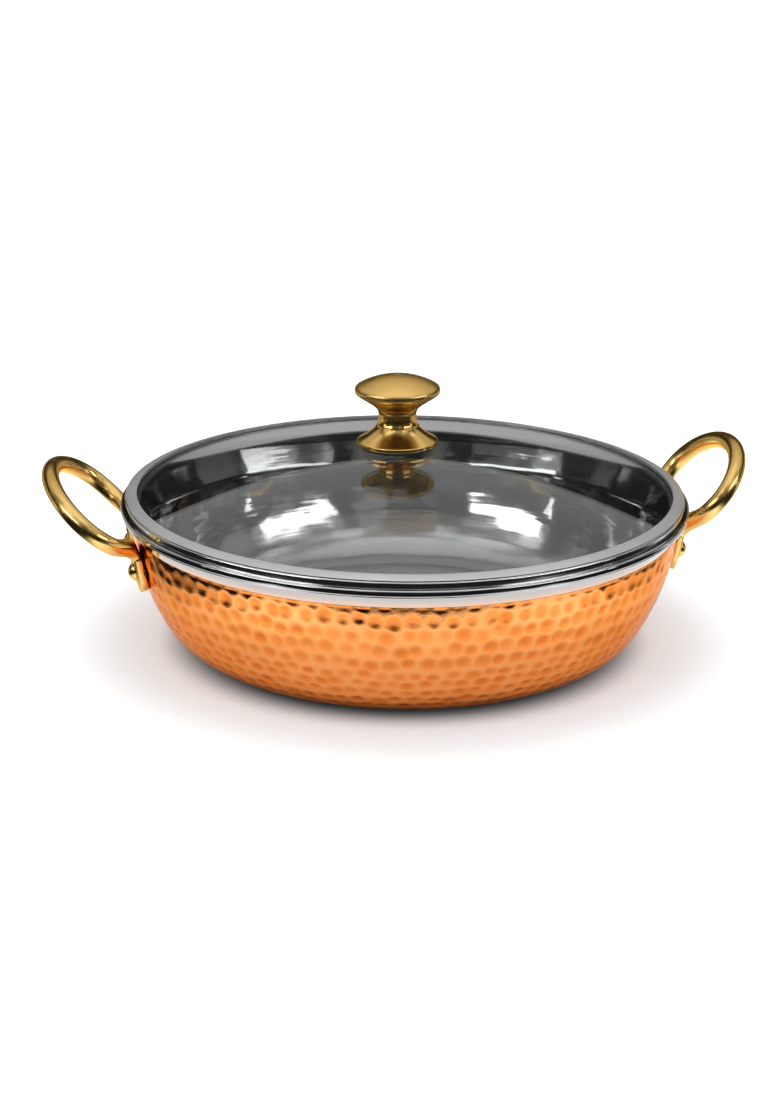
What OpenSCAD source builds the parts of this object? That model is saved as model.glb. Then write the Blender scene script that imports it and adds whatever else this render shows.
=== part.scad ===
// Covered serving pan. A polished steel bowl sits inside a hammered copper shell,
// with an air gap between the two walls. Two loop handles of brass rod are forged
// flat at their ends and riveted to the shell. A domed glass lid is held in a
// rolled steel band and lifted by a turned brass knob, which is screwed through it.
// Origin at the middle of the base's underside, +Z up, handles along X, front at -Y.

/* [Copper shell] */
// Radius of the shell at its top edge
shell_r = 122.5; // [118:0.5:127]
// Height of the shell's top edge above the table
shell_h = 57; // [54:0.5:62]
// How far the wall leans out, from the flat base's edge to the top edge
wall_lean = 36.5; // [30:0.5:44]
// Radius of the round corner between base and wall
corner_r = 26; // [20:0.5:30]
// Radius of the wall's long curve
wall_r = 101; // [90:1:130]
// Thickness of the copper sheet
copper_t = 1.2; // [0.8:0.1:1.6]

/* [Steel bowl] */
// Thickness of the steel sheet
steel_t = 1; // [0.7:0.1:1.4]
// Air gap between bowl and shell at the bowl's crease
air_gap = 2.4; // [1.8:0.1:3.5]
// How far below the shell's top edge the bowl's wall turns outwards
crease_drop = 9.5; // [7:0.5:12]
// Height of the lip's top above the shell's top edge
lip_rise = 8.6; // [7.5:0.1:9.5]
// Thickness of the rolled lip
lip_t = 1.2; // [0.8:0.1:1.6]
// How far the rolled lip stands out past the flare
lip_over = 0.9; // [0.4:0.1:1.2]

/* [Handles] */
// Diameter of the brass rod
rod_d = 7.7; // [6:0.1:9]
// Half the width of a loop at its widest, to the middle of the rod
loop_half_w = 36.5; // [30:0.5:38]
// Reach of a loop in its own plane, to the middle of the rod
loop_reach = 46.5; // [42:0.5:54]
// Share of the reach at which the loop is widest
loop_wide_share = 0.49; // [0.42:0.01:0.52]
// How far inside the shell's edge a loop's plane meets the level of its foot
foot_inset = 2; // [0:0.5:3]
// Distance between a handle's two rivets
rivet_span = 43; // [36:0.5:50]
// How far the rivets lie below the shell's top edge
rivet_drop = 13.5; // [11.5:0.5:16]
// Width of a forged lug
lug_w = 12.5; // [10:0.5:15]
// Thickness of a forged lug
lug_t = 4; // [3:0.5:5]
// Length of a lug below its rivet's axis
lug_below = 9.5; // [7.5:0.5:11]
// Length of a lug above its rivet's axis, up to the bend
lug_above = 6; // [5:0.5:8]
// Tilt of the left loop above level
left_tilt = 38.5; // [32:0.5:52]
// How far below the shell's top edge the left loop's plane starts
left_foot_drop = 5; // [3:0.5:9]
// Sideways roll of the left loop as it was set by hand
left_roll = -4; // [-8:0.5:8]
// Tilt of the right loop above level
right_tilt = 51; // [32:0.5:52]
// How far below the shell's top edge the right loop's plane starts
right_foot_drop = 8; // [3:0.5:9]
// Sideways roll of the right loop as it was set by hand
right_roll = -4; // [-8:0.5:8]

/* [Rivets] */
// Diameter of a rivet's shank
rivet_d = 4.5; // [3.5:0.5:5.5]
// Diameter of the domed head
rivet_head_d = 7.8; // [7:0.1:9]
// Height of the domed head
rivet_head_h = 2.6; // [1.8:0.1:3.2]
// Diameter of the flattened tail inside the shell
rivet_tail_d = 7; // [6.5:0.1:8]
// Thickness of the flattened tail
rivet_tail_t = 0.8; // [0.6:0.1:1]

/* [Lid band] */
// Play between the band's outer wall and the bowl, at the level of the lip
lid_play = 0.6; // [0.5:0.1:1.2]
// Height of the band's top above the pan's lip
band_rise = 4.8; // [4:0.1:6]
// Width of the band's top, from its inner edge to its outer wall
band_w = 5.3; // [4.5:0.1:6]
// Thickness of the band's steel
band_t = 0.9; // [0.7:0.1:1]
// Radius of the band's crowned top
crown_r = 8; // [7:0.5:12]
// Radius of the bead that rolls into the outer wall
bead_r = 0.8; // [0.6:0.1:1]
// Width of the groove between the crowned top and the bead
groove_w = 0.5; // [0.3:0.1:0.7]

/* [Lid glass] */
// Thickness of the glass
glass_t = 3.5; // [3:0.1:3.8]
// Height of the dome above the band's inner edge
dome_rise = 20.8; // [16:0.1:26]
// Diameter of the hole for the knob's screw
glass_hole_d = 8; // [7.5:0.5:10]
// How far off the lid's middle the hole is drilled, towards the left handle
hole_off = 3.5; // [0:0.5:4]

/* [Knob] */
// Height of the knob
knob_h = 31.2; // [28:0.1:36]
// Radius of the cap
cap_r = 19; // [17:0.5:21]
// Radius of the cap's low dome
cap_dome_r = 36; // [32:1:44]
// Radius of the cap's rounded edge
cap_edge_r = 1.6; // [1.2:0.1:2]
// Radius of the neck at its narrowest
neck_r = 8.45; // [7.5:0.05:9.5]
// Radius of the foot
foot_r = 17.9; // [16.5:0.1:19]
// Height of the foot's straight rim
foot_rim_h = 1.9; // [1.4:0.1:2.4]
// Radius of the lathe lines cut round the neck
line_r = 0.28; // [0.2:0.01:0.4]
// Radius of the centre mark on the cap
mark_r = 1.8; // [1.4:0.1:2.2]
// Depth of the centre mark
mark_depth = 0.6; // [0.4:0.1:1]

/* [Knob fixing] */
// Diameter of the screw
screw_d = 5; // [4:0.5:6]
// Length of the screw inside the knob
screw_grip = 10; // [8:0.5:13]
// Diameter of the screw's head
screw_head_d = 9.4; // [8:0.2:11]
// Height of the screw's head
screw_head_h = 2.8; // [2.2:0.1:3.4]
// Diameter of the steel washer
washer_d = 16; // [14:0.5:18]
// Thickness of the steel washer
washer_t = 1; // [0.8:0.1:1.5]
// Thickness of each silicone seal
seal_t = 1; // [0.8:0.1:1.4]
// How far the upper seal stands back from the foot's edge
seal_inset = 1.6; // [1:0.1:2.4]
// Diameter of the lower seal's flange
lower_seal_d = 19; // [17:0.5:22]

/* [Fits] */
// Gap between the shell's bevelled top edge and the bowl's flare
rim_gap = 0.1; // [0.08:0.01:0.2]
// Gap between the lid's band and the bowl, all round
seat_gap = 0.3; // [0.2:0.05:0.4]
// Gap between pieces that are riveted or screwed together
joint_gap = 0.05; // [0.03:0.01:0.1]

/* [Hidden] */

copper = "#c8743c";
steel = "#b9bcc0";
brass = "#c79f4b";
silicone = "#2b2b2c";
clear_glass = [0.85, 0.9, 0.9, 0.35];

// Overrun of every cut past the face it opens
over = 1;
// Sides of a turned piece, of a small turned piece and of the forged rod
turned_fn = 180;
small_fn = 64;
rod_fn = 24;
// Steps along a rounded edge and along a longer curve
edge_steps = 8;
curve_steps = 14;

// Points of an arc about a centre, both ends included
function arc(c, r, a0, a1, n) = [for (i = [0:n]) let(a = a0 + (a1 - a0) * i / n) c + r * [cos(a), sin(a)]];
// Radius of the ball whose cap has a given radius and height
function ball_radius(r, h) = (r * r + h * h) / (2 * h);
// Point at t along a cubic curve
function curve_at(p, t) =
    pow(1 - t, 3) * p[0] + 3 * t * pow(1 - t, 2) * p[1] + 3 * t * t * (1 - t) * p[2] + pow(t, 3) * p[3];
function curve(p, n) = [for (i = [0:n]) curve_at(p, i / n)];
function reversed(list) = [for (i = [len(list) - 1:-1:0]) list[i]];
function after_first(list) = [for (i = [1:len(list) - 1]) list[i]];
function mix(a, b, t) = a + (b - a) * t;
function unit(v) = v / norm(v);
// Smooth step from 0 to 1
function ease(t) = let(s = min(max(t, 0), 1)) s * s * (3 - 2 * s);

// A bowl wall is a corner arc that leaves the flat base level, and a longer arc
// tangent to it that ends at a given point. It is kept as [centre, radius] of each
// arc, the angle at which they meet and the angle at which the second one ends.
function wall_form(flat_r, floor_z, r1, r2, end) =
    let(c1 = [flat_r, floor_z + r1],
        d = norm(end - c1),
        to_end = atan2(end.y - c1.y, end.x - c1.x),
        to_c2 = to_end + acos((d * d + pow(r2 - r1, 2) - r2 * r2) / (2 * d * (r2 - r1))),
        c2 = c1 + (r2 - r1) * [cos(to_c2), sin(to_c2)])
    [c1, r1, c2, r2, to_c2 - 180, atan2(end.y - c2.y, end.x - c2.x)];
// Points along a wall's face, set inwards from its outer face
function wall_face(w, inset, n1, n2) =
    concat(arc(w[0], w[1] - inset, -90, w[4], n1), after_first(arc(w[2], w[3] - inset, w[4], w[5], n2)));
// Angle on the long arc at a height, and the wall's radius there
function wall_angle(w, z) = asin((z - w[2].y) / w[3]);
function wall_radius(w, z) = w[2].x + w[3] * cos(wall_angle(w, z));

// Steps along the corner arc and the long arc of each wall
corner_steps = 12;
wall_steps = 18;

base_r = shell_r - wall_lean;
shell_wall = wall_form(base_r, 0, corner_r, wall_r, [shell_r, shell_h]);

// The bowl rests on the shell's floor, and its flare passes just clear of the shell's top edge
crease_h = shell_h - crease_drop;
crease_r = wall_radius(shell_wall, crease_h) - copper_t - air_gap;
bowl_wall = wall_form(base_r - air_gap, copper_t, corner_r - copper_t, wall_r - copper_t - air_gap,
                      [crease_r, crease_h]);
// Outward run of the flare for each millimetre of rise, and its slant
flare_slope = (shell_r - rim_gap - crease_r) / (shell_h - crease_h);
flare_angle = atan(flare_slope);
function flare_out_r(z) = crease_r + (z - crease_h) * flare_slope;
function flare_in_r(z) = flare_out_r(z) - steel_t / cos(flare_angle);
function clear_of_flare(p) = p.y < crease_h || p.x > flare_out_r(p.y) + rim_gap;
lip_h = shell_h + lip_rise;
lip_r = flare_out_r(lip_h - lip_t) + lip_over;

// The copper sheet: flat base, round corner and wall, its top edge bevelled to the flare
module copper_shell() {
    bevel_h = shell_h - copper_t / flare_slope;
    outer = wall_face(shell_wall, 0, corner_steps, wall_steps);
    inner = [for (p = wall_face(shell_wall, copper_t, corner_steps, wall_steps)) if (clear_of_flare(p)) p];
    color(copper) difference() {
        rotate_extrude($fn = turned_fn)
            polygon(concat([[0, 0]], outer, [[flare_out_r(bevel_h) + rim_gap, bevel_h]],
                           reversed(inner), [[0, copper_t]]));
        for (side = [0, 1], end = [-1, 1])
            at_rivet(side, end) translate([0, 0, -copper_t - over])
                cylinder(d = rivet_d + 2 * joint_gap, h = copper_t + 2 * over, $fn = small_fn);
    }
}

// The steel bowl: floor, curved wall, flare from the crease and the rolled lip
module steel_bowl() {
    lip_low = lip_h - lip_t;
    outer = wall_face(bowl_wall, 0, corner_steps, wall_steps);
    inner = wall_face(bowl_wall, steel_t, corner_steps, wall_steps);
    lip_end = arc([lip_r - lip_t / 2, lip_h - lip_t / 2], lip_t / 2, -90, 90, edge_steps);
    color(steel) rotate_extrude($fn = turned_fn)
        polygon(concat([[0, copper_t]], outer, [[flare_out_r(lip_low), lip_low]], lip_end,
                       [[flare_in_r(lip_h), lip_h]], reversed(inner), [[0, copper_t + steel_t]]));
}

// Place a child with its Z axis along a rivet: out of the shell, square to its wall.
// side 0 is the right handle and 1 the left, end -1 or 1 is across the handle.
rivet_h = shell_h - rivet_drop;
lug_turn = asin(rivet_span / 2 / wall_radius(shell_wall, rivet_h));
rivet_lean = wall_angle(shell_wall, rivet_h);
module at_rivet(side, end) {
    rotate(180 * side + end * lug_turn)
        translate([wall_radius(shell_wall, rivet_h), 0, rivet_h]) rotate([0, 90 - rivet_lean, 0]) children();
}

// Lines of a handle's route, in the frame of the right handle: x outwards, y across, z up.
// On a lug the route follows the shell's wall, half a lug's thickness off it.
function lug_point(end, a) =
    let(off = wall_r + joint_gap + lug_t / 2, r = shell_wall[2].x + off * cos(a))
    [r * cos(end * lug_turn), r * sin(end * lug_turn), shell_wall[2].y + off * sin(a)];
function lug_out(end, a) = [cos(a) * cos(end * lug_turn), cos(a) * sin(end * lug_turn), sin(a)];
function lug_up(end, a) = [-sin(a) * cos(end * lug_turn), -sin(a) * sin(end * lug_turn), cos(a)];
// Angles on the wall of a lug's top, of its tip and of where the tip reaches full width
lug_top_a = rivet_lean + lug_above / wall_r * 180 / PI;
lug_tip_a = rivet_lean - lug_below / wall_r * 180 / PI;
lug_full_a = lug_tip_a + lug_w / 2 / wall_r * 180 / PI;

// In the loop's plane the route is part of an ellipse, 0 at its farthest point, up to
// this angle on each side
loop_span = 109;
loop_foot_r = shell_r - foot_inset;
loop_steps = 34;
bend_steps = 11;
lug_steps = 3;
tip_steps = 5;
// How far each end of a bend keeps straight, as a share of the bend's chord
bend_pull_share = 0.4;
// Share of the bend along which a lug narrows into the round rod
taper_share = 0.8;
// How square a lug's section is, 0 for an ellipse
square_share = 0.5;
function loop_point(phi, tilt, foot_h, roll) =
    let(mid = loop_reach * loop_wide_share,
        across = loop_half_w * sin(phi),
        out = mid + (loop_reach - mid) * cos(phi))
    [loop_foot_r + out * cos(tilt), across, foot_h + out * sin(tilt) + across * sin(roll)];
function loop_dir(phi, tilt, foot_h, roll) =
    unit(loop_point(phi + 1, tilt, foot_h, roll) - loop_point(phi - 1, tilt, foot_h, roll));

// Half of the bend between a lug and the loop, as a cubic curve from the lug upwards
function bend_curve(end, tilt, foot_h, roll) =
    let(a = lug_point(end, lug_top_a),
        b = loop_point(end * loop_span, tilt, foot_h, roll),
        reach = bend_pull_share * norm(b - a))
    [a, a + reach * lug_up(end, lug_top_a),
     b + reach * end * loop_dir(end * loop_span, tilt, foot_h, roll), b];

// One ring of the rod: where it is, its flat side, half its width, half its thickness
// and how square it is. A lug's tip is round in outline; the rod is round in section.
function lug_rings(end) = concat(
    [for (i = [1:tip_steps]) let(b = 90 * i / (tip_steps + 1), a = mix(lug_full_a, lug_tip_a, cos(b)))
        [lug_point(end, a), lug_out(end, a), lug_w / 2 * sin(b), 1]],
    [for (i = [0:lug_steps]) let(a = mix(lug_full_a, lug_top_a, i / (lug_steps + 1)))
        [lug_point(end, a), lug_out(end, a), lug_w / 2, 1]]);
function bend_rings(end, tilt, foot_h, roll) =
    let(c = bend_curve(end, tilt, foot_h, roll), under = [sin(tilt), 0, -cos(tilt)])
    [for (i = [0:bend_steps - 1]) let(t = i / bend_steps, flat = 1 - ease(t / taper_share))
        [curve_at(c, t), unit(mix(lug_out(end, lug_top_a), under, ease(t))),
         mix(rod_d, lug_w, flat) / 2, flat]];
function loop_rings(tilt, foot_h, roll) =
    [for (i = [0:loop_steps]) let(phi = loop_span * (2 * i / loop_steps - 1))
        [loop_point(phi, tilt, foot_h, roll), [sin(tilt), 0, -cos(tilt)], rod_d / 2, 0]];
function handle_rings(tilt, foot_h, roll) = concat(
    lug_rings(-1), bend_rings(-1, tilt, foot_h, roll), loop_rings(tilt, foot_h, roll),
    reversed(bend_rings(1, tilt, foot_h, roll)), reversed(lug_rings(1)));

// Outline of a ring: a circle for the rod, a soft rectangle for a lug
function bulge(c, flat) = sign(c) * pow(abs(c), 1 - square_share * flat);
function ring_points(rings, i) =
    let(here = rings[i], n = len(rings) - 1,
        along = unit(rings[min(i + 1, n)][0] - rings[max(i - 1, 0)][0]),
        out = unit(here[1] - (here[1] * along) * along),
        across = cross(along, out),
        thick = mix(rod_d, lug_t, here[3]) / 2)
    [for (j = [0:rod_fn - 1]) let(a = 360 * j / rod_fn)
        here[0] + here[2] * bulge(cos(a), here[3]) * across + thick * bulge(sin(a), here[3]) * out];

// A forged handle: one rod swept along its route and flattened into a lug at each end
module handle(tilt, foot_h, roll) {
    rings = handle_rings(tilt, foot_h, roll);
    n = len(rings);
    points = [for (i = [0:n - 1]) each ring_points(rings, i)];
    sides = [for (i = [0:n - 2], j = [0:rod_fn - 1]) let(a = i * rod_fn, k = (j + 1) % rod_fn)
        each [[a + j, a + k, a + rod_fn + k], [a + j, a + rod_fn + k, a + rod_fn + j]]];
    first = [for (j = [rod_fn - 1:-1:0]) j];
    last = [for (j = [0:rod_fn - 1]) (n - 1) * rod_fn + j];
    color(brass) difference() {
        polyhedron(points, concat(sides, [first, last]), convexity = 6);
        for (end = [-1, 1])
            at_rivet(0, end) translate([0, 0, -over])
                cylinder(d = rivet_d + 2 * joint_gap, h = lug_t + 2 * over, $fn = small_fn);
    }
}
module handle_right() { handle(right_tilt, shell_h - right_foot_drop, right_roll); }
module handle_left() { rotate(180) handle(left_tilt, shell_h - left_foot_drop, left_roll); }

// A rivet: domed head on the lug, shank through lug and shell, tail flattened inside
module rivet() {
    under = lug_t + 2 * joint_gap;
    ball_r = ball_radius(rivet_head_d / 2, rivet_head_h);
    tail_top = -copper_t - 2 * joint_gap;
    dome = arc([0, under + rivet_head_h - ball_r], ball_r, asin((ball_r - rivet_head_h) / ball_r), 90,
               edge_steps);
    color(brass) rotate_extrude($fn = small_fn)
        polygon(concat([[0, tail_top - rivet_tail_t], [rivet_tail_d / 2, tail_top - rivet_tail_t],
                        [rivet_tail_d / 2, tail_top], [rivet_d / 2, tail_top],
                        [rivet_d / 2, under]], dome));
}
module rivet_right_front() { at_rivet(0, -1) rivet(); }
module rivet_right_back() { at_rivet(0, 1) rivet(); }
module rivet_left_front() { at_rivet(1, 1) rivet(); }
module rivet_left_back() { at_rivet(1, -1) rivet(); }

// Heights and radii of the lid when it is closed
band_top = lip_h + band_rise;
lid_r = flare_in_r(lip_h) - lid_play;
band_in_r = lid_r - band_w;
// The band's turned-down inner edge meets the glass this far below its top
edge_drop = 2 * band_t;
dome_top = band_top - edge_drop + dome_rise;
dome_r = ball_radius(band_in_r, dome_rise);
function glass_top(r) = dome_top - dome_r + sqrt(dome_r * dome_r - r * r);
function glass_under(r) = dome_top - dome_r + sqrt(pow(dome_r - glass_t, 2) - r * r);
glass_r = lid_r - 2 * band_t - seat_gap * 2;
flange_top = glass_under(glass_r);
band_low = flange_top - band_t;
// Radius of the band's outside at a height, where it nests in the bowl's flare
function nest_r(z) = min(lid_r, flare_in_r(z) - seat_gap / cos(flare_angle));
nest_h = crease_h + (lid_r + (seat_gap + steel_t) / cos(flare_angle) - crease_r) / flare_slope;

// The rolled band, bent from one strip: turned-down inner edge, crowned top, groove and
// bead, outer wall nested in the flare, and flange under the glass
module lid_band() {
    crown_c = [band_in_r + band_t / 2, band_top - crown_r];
    crown_out_r = lid_r - bead_r / 2;
    crown_end = acos((crown_out_r - crown_c.x) / crown_r);
    crown_low = crown_c.y + crown_r * sin(crown_end);
    bead_c = [lid_r - bead_r, crown_low - groove_w - bead_r];
    inner_r = crown_r - band_t;
    color(steel) rotate_extrude($fn = turned_fn)
        polygon(concat([[band_in_r, band_top]], arc(crown_c, crown_r, 90, crown_end, edge_steps),
                       [[lid_r - bead_r - groove_w, crown_low - groove_w]],
                       arc(bead_c, bead_r, 90, 0, edge_steps),
                       [[lid_r, nest_h], [nest_r(band_low), band_low], [band_in_r, band_low],
                        [band_in_r, flange_top], [glass_r, flange_top]],
                       arc(crown_c, inner_r, acos((glass_r - crown_c.x) / inner_r),
                           acos(band_t / 2 / inner_r), edge_steps),
                       [[band_in_r + band_t, glass_top(band_in_r)], [band_in_r, glass_top(band_in_r)]]));
}

// The knob and its fixing stand square on the dome where the hole is drilled
module on_dome() {
    translate([0, 0, dome_top - dome_r]) rotate([0, -asin(hole_off / dome_r), 0])
        translate([0, 0, dome_r - dome_top]) children();
}

// The domed glass, an even thickness, drilled for the knob's screw
dome_steps = 36;
module lid_glass() {
    radii = [for (i = [0:dome_steps]) glass_r * i / dome_steps];
    color(clear_glass) difference() {
        rotate_extrude($fn = turned_fn)
            polygon(concat([for (r = radii) [r, glass_under(r)]],
                           [for (r = reversed(radii)) [r, glass_top(r)]]));
        on_dome() translate([0, 0, dome_top - glass_t - over])
            cylinder(d = glass_hole_d, h = glass_t + 2 * over, $fn = small_fn);
    }
}

// Outline of the knob, from the edge of its foot up to its cap, z from its underside
knob_z = dome_top + seal_t;
// Where the outline turns: shares of the foot's or the cap's radius, and of the height
foot_r_share = 0.71;
foot_h_shares = [0.147, 0.245, 0.4];
cap_r_share = 0.66;
cap_h_shares = [0.437, 0.55, 0.6];
// Where a lathe line is cut along the foot's flare and along the cap's
line_shares = [0.72, 0.38];
foot_flare = [[foot_r - line_r, foot_rim_h], [foot_r * foot_r_share, knob_h * foot_h_shares[0]],
              [neck_r, knob_h * foot_h_shares[1]], [neck_r, knob_h * foot_h_shares[2]]];
cap_c = [cap_r - cap_edge_r,
         knob_h - cap_dome_r + sqrt(pow(cap_dome_r - cap_edge_r, 2) - pow(cap_r - cap_edge_r, 2))];
// Angle on the cap's rounded edge at which its underside starts
cap_under_a = -50;
cap_flare = [[neck_r, knob_h * cap_h_shares[0]], [neck_r, knob_h * cap_h_shares[1]],
             [cap_r * cap_r_share, knob_h * cap_h_shares[2]],
             cap_c + cap_edge_r * [cos(cap_under_a), sin(cap_under_a)]];
// The turned knob: foot, waisted neck with two lathe lines, domed cap, blind screw hole
module knob() {
    cap_a = atan2(cap_c.y - knob_h + cap_dome_r, cap_c.x);
    mark_a = acos(mark_r / cap_dome_r);
    color(brass) on_dome() translate([0, 0, knob_z]) difference() {
        rotate_extrude($fn = turned_fn) difference() {
            polygon(concat([[0, 0], [foot_r - line_r, 0], [foot_r, line_r], [foot_r, foot_rim_h - line_r]],
                           curve(foot_flare, curve_steps), curve(cap_flare, curve_steps),
                           after_first(arc(cap_c, cap_edge_r, cap_under_a, cap_a, edge_steps)),
                           after_first(arc([0, knob_h - cap_dome_r], cap_dome_r, cap_a, mark_a, curve_steps)),
                           [[0, knob_h - mark_depth]]));
            translate(curve_at(foot_flare, line_shares[0])) circle(r = line_r, $fn = small_fn / 4);
            translate(curve_at(cap_flare, line_shares[1])) circle(r = line_r, $fn = small_fn / 4);
        }
        translate([0, 0, -over])
            cylinder(d = screw_d + 2 * joint_gap, h = screw_grip + 2 * over, $fn = small_fn);
    }
}

// Between the knob's foot and the glass; its underside follows the dome
seal_steps = 4;
module knob_seal_upper() {
    r = foot_r - seal_inset;
    hole = glass_hole_d / 2;
    color(silicone) on_dome() rotate_extrude($fn = turned_fn)
        polygon(concat([for (i = [0:seal_steps]) let(x = mix(hole, r, i / seal_steps)) [x, glass_top(x)]],
                       [[r, knob_z], [hole, knob_z]]));
}

// Under the glass, with a sleeve that keeps the screw off the hole's edge
seal_under = glass_under(0) - seal_t;
module knob_seal_lower() {
    r = lower_seal_d / 2;
    sleeve = glass_hole_d / 2 - joint_gap;
    bore = screw_d / 2 + joint_gap;
    color(silicone) on_dome() rotate_extrude($fn = turned_fn)
        polygon([[bore, seal_under], [r, seal_under], [r, glass_under(r)],
                 [sleeve, glass_under(glass_hole_d / 2)], [sleeve, dome_top], [bore, dome_top]]);
}

module knob_washer() {
    color(steel) on_dome() translate([0, 0, seal_under - washer_t]) difference() {
        cylinder(d = washer_d, h = washer_t, $fn = turned_fn);
        translate([0, 0, -over])
            cylinder(d = screw_d + 2 * joint_gap, h = washer_t + 2 * over, $fn = small_fn);
    }
}

// The knob's screw, with a domed head and a cross recess
module knob_screw() {
    head_top = seal_under - washer_t;
    ball_r = ball_radius(screw_head_d / 2, screw_head_h);
    dome = arc([0, head_top - screw_head_h + ball_r], ball_r, -90, -asin((ball_r - screw_head_h) / ball_r),
               edge_steps);
    slot = screw_d / 4;
    color(steel) on_dome() difference() {
        rotate_extrude($fn = small_fn)
            polygon(concat(dome, [[screw_d / 2, head_top], [screw_d / 2, knob_z + screw_grip],
                                  [0, knob_z + screw_grip]]));
        for (a = [0, 90])
            rotate(a) translate([-screw_d / 2, -slot / 2, head_top - screw_head_h - over])
                cube([screw_d, slot, over + screw_head_h / 2]);
    }
}

copper_shell();
steel_bowl();
handle_left();
handle_right();
rivet_left_front();
rivet_left_back();
rivet_right_front();
rivet_right_back();
lid_band();
lid_glass();
knob();
knob_screw();
knob_washer();
knob_seal_upper();
knob_seal_lower();
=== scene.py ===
# Looks of the covered copper serving pan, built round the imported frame.
# Lengths are in metres, in the frame of the CAD model.
# Angles written as numbers are in degrees where no comment says otherwise.
import math

import bmesh
import bpy
import numpy as np
from mathutils import Matrix, Vector


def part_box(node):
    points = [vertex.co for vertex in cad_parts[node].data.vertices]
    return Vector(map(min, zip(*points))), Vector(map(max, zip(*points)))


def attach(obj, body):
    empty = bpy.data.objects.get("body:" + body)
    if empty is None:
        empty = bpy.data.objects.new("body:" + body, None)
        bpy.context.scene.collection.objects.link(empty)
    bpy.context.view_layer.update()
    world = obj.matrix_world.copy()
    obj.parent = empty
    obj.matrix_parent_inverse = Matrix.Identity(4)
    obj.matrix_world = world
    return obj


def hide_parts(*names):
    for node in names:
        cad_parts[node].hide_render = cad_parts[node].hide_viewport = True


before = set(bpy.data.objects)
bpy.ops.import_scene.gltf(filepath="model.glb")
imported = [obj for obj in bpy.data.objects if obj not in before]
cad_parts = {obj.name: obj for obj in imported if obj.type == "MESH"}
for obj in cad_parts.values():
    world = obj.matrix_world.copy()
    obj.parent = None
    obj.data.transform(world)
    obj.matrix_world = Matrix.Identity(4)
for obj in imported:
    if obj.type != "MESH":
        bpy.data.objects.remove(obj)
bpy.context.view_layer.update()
mm = 0.001

# Sizes that the frame gives
shell_r, shell_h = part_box("copper_shell")[1].x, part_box("copper_shell")[1].z
lip_r, lip_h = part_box("steel_bowl")[1].x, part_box("steel_bowl")[1].z
lid_r, band_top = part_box("lid_band")[1].x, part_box("lid_band")[1].z

# Pan. Its flare starts at a crease, and its lip is rolled over, with a seam round the roll.
wall_lean = 36.5 * mm  # from the flat base's edge out to the shell's edge
corner_r = 26 * mm
wall_r = 101 * mm
copper_t = 1.2 * mm
steel_t = 1 * mm
air_gap = 2.4 * mm  # between the copper and the steel
crease_drop = 9.5 * mm  # from the shell's edge down to the crease
rim_gap = 0.1 * mm  # between the shell's edge and the flare
roll_h = 3.1 * mm
roll_edge_r = 0.9 * mm
seam_share = 0.26
seam_depth = 0.25 * mm
bowl_edge_r = 0.12 * mm

# Hammer dimples: the rows draw closer from one drop below the shell's edge to another
row_pitch_top, row_pitch_low = 7.3 * mm, 5.2 * mm
pitch_from, pitch_to = 20 * mm, 34 * mm
first_row_above = 1.2 * mm
dimple_width = 7.5 * mm
dimple_depth = 0.5 * mm
dimple_reach_share = 0.62
dimple_jitter_share = 0.17
dimple_size_share = 0.17
shallowest_share = 0.45
fade_below_edge = 1.2 * mm
fade_above_base = 2.5 * mm
base_ring_shares = [0.15, 0.5, 0.85, 0.97]

# Handles and rivets
rod_d = 7.64 * mm
loop_half_w = 36.5 * mm
loop_reach = 46.5 * mm
loop_wide_share = 0.49  # where the loop is widest
loop_span = math.radians(109)  # how far round its ellipse the loop goes, each way from its tip
foot_inset = 2 * mm  # from the shell's edge in to where the reach is measured
rivet_span = 43 * mm
rivet_drop = 13.5 * mm
lug_w = 12.5 * mm
lug_t = 4 * mm
lug_below = 9.5 * mm  # below the rivet
lug_above = 6 * mm
left_loop = {"tilt": 38.5, "drop": 5 * mm, "roll": -4}
right_loop = {"tilt": 51, "drop": 8 * mm, "roll": -4}
bend_pull_share = 0.4  # how far the bend runs on straight at its ends
taper_share = 0.8  # how much of the bend turns the flat lug into the round rod
square_share = 0.5  # how square the lug's section is
rivet_d = 4.5 * mm
rivet_head_d = 7.8 * mm
rivet_head_h = 2.6 * mm
rivet_tail_d = 7 * mm
rivet_tail_t = 0.8 * mm
rivet_edge_r = 0.25 * mm

# Lid
band_w = 5.3 * mm
band_t = 0.9 * mm
crown_r = 8 * mm
crown_face_r = 22 * mm
bead_r = 0.8 * mm
groove_w = 0.5 * mm
band_edge_r = 0.18 * mm
glass_t = 3.5 * mm
dome_rise = 20.8 * mm
rim_flat_share = 0.25  # how much the dome flattens towards its rim
bed_w = 2.2 * mm
bed_h = 1.6 * mm
bed_edge_r = 0.3 * mm
glass_hole_d = 8 * mm
hole_off = 3.5 * mm  # from the dome's middle to the knob's hole
seat_gap = 0.3 * mm
joint_gap = 0.05 * mm

# Knob
knob_h = 31.2 * mm
cap_r = 19 * mm
cap_dome_r = 36 * mm
cap_edge_r = 2.2 * mm
cap_under_a = -62  # where the cap's rounded edge meets its underside
cap_low_share = 0.68  # where the cap's softer shine starts
neck_r = 8.45 * mm
foot_r = 17.9 * mm
foot_rim_h = 1.9 * mm
line_r = 0.28 * mm
line_width_share = 0.8
mark_r = 1.8 * mm
mark_depth = 0.6 * mm
screw_d = 5 * mm
screw_grip = 10 * mm
screw_room = 1 * mm
seal_t = 1 * mm
knob_edge_r = 0.15 * mm
foot_r_share = 0.71
foot_h_shares = [0.147, 0.245, 0.4]
cap_r_share = 0.66
cap_h_shares = [0.437, 0.55, 0.6]
foot_line_shares = [0.72]
cap_line_shares = [0.38, 0.84]

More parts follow.
